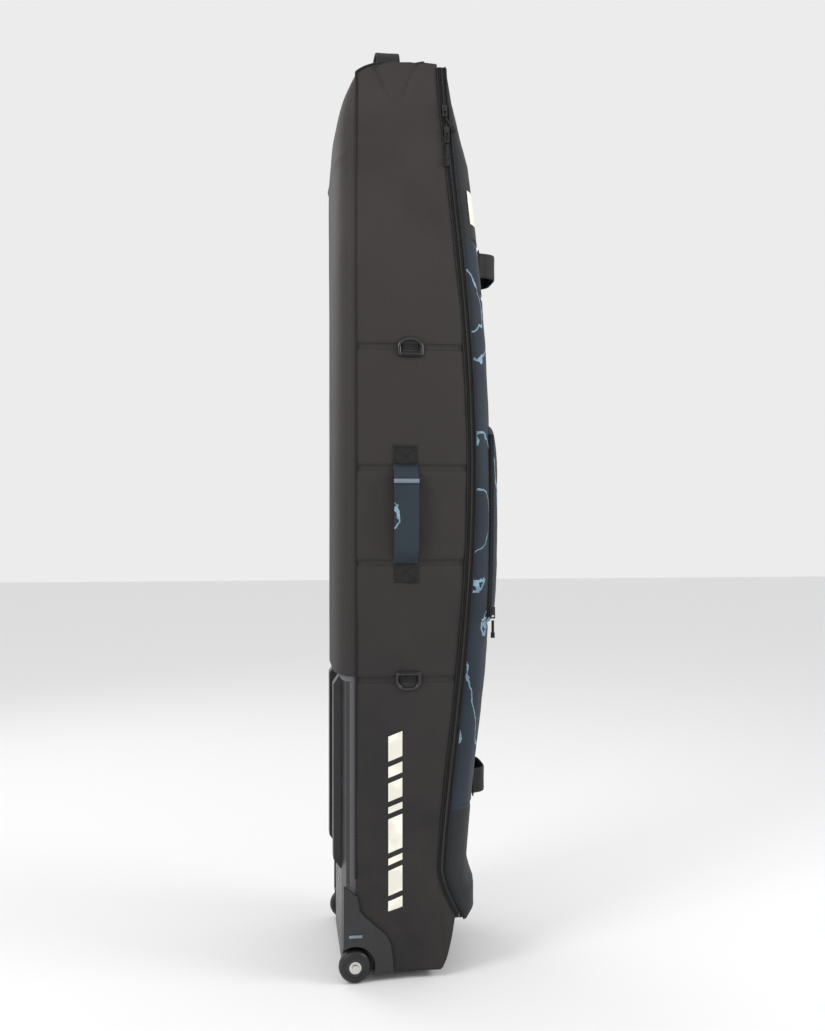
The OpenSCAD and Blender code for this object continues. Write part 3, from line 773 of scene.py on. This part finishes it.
def side_handle(name, side):
    low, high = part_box(f"side_handle_{name}")
    middle = (low + high) / 2
    run, rise = loop_path(high.z - low.z - 0.004, high.y - low.y - 0.0015, foot=0.006)
    x = np.full(len(run), middle.x)
    z = middle.z + run
    surface = side * (HALF_W + side_bulge(x, z) + 0.0012)
    flat = np.maximum(np.abs(surface), HALF_W + rise)
    path = np.stack([x, side * flat, z], axis=1)
    strap = sweep(f"side_{name}_webbing", path, X_AXIS, strap_section(high.x - low.x, 0.0028))
    finish_piece(strap, "tub", "print_webbing", replaces=[f"side_handle_{name}"])
    reach = (high.z - low.z) / 2
    for k, end in enumerate((-1, 1)):
        z = middle.z + end * np.linspace(reach - 0.006, reach + 0.040, 24)
        x = np.full(24, middle.x)
        path = np.stack([x, side_y(x, z, side) + side * 0.0008, z], axis=1)
        patch = sweep(f"side_{name}_patch_{k}", path, X_AXIS, strap_section(0.048, 0.0016))
        finish_piece(patch, "tub", "webbing")
        spot = (middle.x, path[13, 1] + side * 0.0013, path[13, 2])
        box = box_stitch(f"side_{name}_sewn_{k}", spot, X_AXIS, Z_AXIS, (0, side, 0), 0.040, 0.032)
        finish_piece(box, "tub", "webbing", THREAD)
    band_y = side * (HALF_W + high.y - low.y - 0.001)
    band_z = middle.z + 0.060
    band_path = [(middle.x, band_y, band_z + step) for step in (-0.004, 0, 0.004)]
    band = sweep(f"side_{name}_band", band_path, X_AXIS, strap_section(high.x - low.x + 0.001, 0.0034))
    finish_piece(band, "tub", "print_webbing", INLAY)


def top_handle():
    low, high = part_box("top_handle")
    middle = (low + high) / 2
    ground = BAG_TOP - 0.003
    run, rise = loop_path(high.y - low.y - 0.004, high.z - ground - 0.0015, foot=0.02)
    path = np.stack([np.full(len(run), middle.x), run, ground + rise], axis=1)
    strap = sweep("top_webbing", path, X_AXIS, strap_section(high.x - low.x, 0.003))
    finish_piece(strap, "tub", "webbing", replaces=["top_handle"])
    for k, side in enumerate((-1, 1)):
        centre = (middle.x, side * 0.097, ground + 0.0032)
        box = box_stitch(f"top_sewn_{k}", centre, X_AXIS, Y_AXIS, Z_AXIS, 0.036, 0.018)
        finish_piece(box, "tub", "webbing", THREAD)


def ring_tab(name, up):
    """Webbing folded round a D-ring's bar and sewn to the side panel."""
    low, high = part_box(f"d_ring_tab_{name}")
    radius = (high.y - low.y) / 2
    bar_z = low.z + radius if up > 0 else high.z - radius
    bar_y = low.y + radius
    angle = np.linspace(-0.5 * np.pi, 0.95 * np.pi, 22)
    wrap_y = bar_y + (radius - 0.0009) * np.cos(angle)
    wrap_z = bar_z - up * (radius - 0.0009) * np.sin(angle)
    end = high.z if up > 0 else low.z
    back_z = np.linspace(bar_z, end, 24)[1:]
    path_y = np.concatenate([wrap_y[::-1], np.full(23, high.y - 0.0016)])
    path_z = np.concatenate([wrap_z[::-1], back_z])
    x = (low.x + high.x) / 2
    path = np.stack([np.full(len(path_y), x), path_y, path_z], axis=1)
    tab = sweep(f"ring_tab_{name}", path, X_AXIS, strap_section(high.x - low.x, 0.0018))
    finish_piece(tab, "tub", "webbing", replaces=[f"d_ring_tab_{name}"])
    centre = (x, high.y - 0.0029, end - up * 0.011)
    box = box_stitch(f"ring_sewn_{name}", centre, X_AXIS, Z_AXIS, NEAR, 0.024, 0.015)
    finish_piece(box, "tub", "webbing", THREAD)


def pull_tab(name, node, body):
    """Cord tab of a zip pull: a soft strip with a moulded bead at its end."""
    low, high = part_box(node)
    corner = NODES[node].data.vertices
    top = np.mean([v.co for v in corner if v.co.z > high.z - 0.0045], axis=0)
    tip = np.mean([v.co for v in corner if v.co.z < low.z + 0.0045], axis=0)
    t = np.linspace(0, 1, 14)[:, None]
    path = top * (1 - t) + tip * t
    strip = sweep(f"{name}_strip", path[:11], X_AXIS, strap_section(0.0055, 0.0022))
    bead = sweep(f"{name}_bead", path[9:], X_AXIS, strap_section(0.0082, 0.0034))
    finish_piece(joined(f"{name}_tab", [strip, bead]), body, "webbing", replaces=[node])


# ---------------------------------------------------------------- printed marks and straps

def mark(name, centre, width, height, lean, body="tub"):
    """Plain cream block printed on the near side panel."""
    v, u = np.meshgrid(np.linspace(-0.5, 0.5, 12), np.linspace(-0.5, 0.5, 10), indexing="ij")
    x = centre[0] + width * u
    z = centre[1] + height * v + lean * u
    y = side_y(x, z, -1) - 0.0005
    finish_piece(grid_object(name, np.stack([x, y, z], axis=-1), (0, 0, centre[1])), body, "webbing", CREAM)


def marks():
    """A generic ladder of slanted blocks instead of any lettering."""
    x = -0.055
    z = 0.132
    for k, height in enumerate((0.020, 0.046, 0.012, 0.062, 0.012, 0.034, 0.020, 0.046)):
        mark(f"side_mark_{k}", (x, z + height / 2), 0.026, height, 0.010)
        z += height + 0.010


def lid_patch():
    v, u = np.meshgrid(np.linspace(1.400, 1.462, 16), np.linspace(-0.93, -0.76, 14), indexing="ij")
    grid = lid_face(u, v)[0]
    grid[..., 0] += 0.0008
    grid[..., 1] -= 0.0012
    finish_piece(grid_object("lid_patch", grid, (0, 0, 1.43)), "lid", "webbing", CREAM)


def inner_straps():
    low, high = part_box("inner_straps")
    for k, z in enumerate((low.z + 0.0125, high.z - 0.0125)):
        for j, side in enumerate((-1, 1)):
            y = np.linspace(side * 0.034, side * 0.086, 20)
            wave = low.x + 0.0012 + 0.0012 * np.abs(np.sin(70 * y))
            path = np.stack([wave, y, np.full(20, z)], axis=1)
            strap = sweep(f"inner_strap_{k}{j}", path, Z_AXIS, strap_section(0.025, 0.0016))
            finish_piece(strap, "tub", "webbing", replaces=["inner_straps"] if (k, j) == (0, 0) else ())


# ---------------------------------------------------------------- build

for piece_name, piece_side in (("near", -1), ("far", 1)):
    side_panel(piece_name, piece_side)
    side_piping(piece_name, piece_side)
    side_lining(piece_name, piece_side)
    side_handle(piece_name, piece_side)
back_shell()
back_lining()
seam_tapes()
toe()
bottom()
lid()
pocket()
zip_ribbon("zip_cloth_tub", 0.0043, 0.0078, "tub", "zip_tape_tub", False)
zip_ribbon("zip_cloth_lid", 0.0123, 0.0080, "lid", "zip_tape_lid", True)
zip_teeth("zip_teeth_tub", -0.0007, 0, "tub")
zip_teeth("zip_teeth_lid", 0.0007, 1, "lid")
zip_cord("zip_cord_tub", 0.0002, "tub")
zip_cord("zip_cord_lid", 0.0160, "lid")
hinge()
front_handle("front_upper", "front_handle_upper")
front_handle("front_lower", "front_handle_lower")
top_handle()
ring_tab("upper", 1)
ring_tab("lower", -1)
pull_tab("upper", "pull_upper_cord", "pull_upper")
pull_tab("lower", "pull_lower_cord", "pull_lower")
pull_tab("pocket", "pocket_pull_cord", "pocket_pull")
marks()
lid_patch()
inner_straps()

# The frame's own hard pieces keep their shape and take a finish and a small edge radius
SLOTS = {part["node"]: part["material_slot"] for part in frame["record"]["subparts"]}
for node_name, node in NODES.items():
    for material_slot in node.material_slots:
        material_slot.material = FINISHES[SLOTS[node_name]]
    if not node.hide_render and not node_name.startswith("wheel_b"):
        edge = node.modifiers.new("edge", "BEVEL")
        edge.width = 0.0006
        edge.segments = 2
        edge.limit_method = "ANGLE"
        edge.angle_limit = math.radians(40)


# ---------------------------------------------------------------- stage, lights and camera

def area_light(name, location, target, size, power):
    light = bpy.data.lights.new(name, "AREA")
    light.size = size
    light.energy = power
    lamp = bpy.data.objects.new(name, light)
    lamp.location = location
    lamp.rotation_euler = (Vector(target) - Vector(location)).to_track_quat("-Z", "Y").to_euler()
    bpy.context.scene.collection.objects.link(lamp)


def stage():
    span = 12.0
    corners = [(-span, -span, 0), (span, -span, 0), (span, span, 0), (-span, span, 0)]
    floor = new_object("floor", corners, [[0, 1, 2, 3]])
    material, _, shader = nodes_of("floor_paper", 0.9)
    shader.inputs["Base Color"].default_value = PAPER_GREY
    floor.data.materials.append(material)
    world = bpy.data.worlds.new("studio")
    world.use_nodes = True
    background = world.node_tree.nodes["Background"]
    background.inputs["Color"].default_value = PAPER_GREY
    background.inputs["Strength"].default_value = 1.0
    bpy.context.scene.world = world
    bpy.context.scene.view_settings.view_transform = "Standard"
    area_light("key", (-2.2, -1.6, 2.4), (0, 0, 1.1), 1.0, 34)
    area_light("rim", (2.2, -0.9, 1.9), (0, 0, 0.9), 1.0, 24)
    area_light("back", (-1.6, 2.0, 2.2), (0, 0, 1.0), 1.5, 14)


def camera():
    data = bpy.data.cameras.new("camera")
    data.lens = 37.2
    data.sensor_width = 36
    viewer = bpy.data.objects.new("camera", data)
    viewer.location = (-0.269, -2.110, 0.855)
    viewer.rotation_euler = (math.radians(90), 0, math.radians(-7.2))
    bpy.context.scene.collection.objects.link(viewer)
    bpy.context.scene.camera = viewer


stage()
camera()
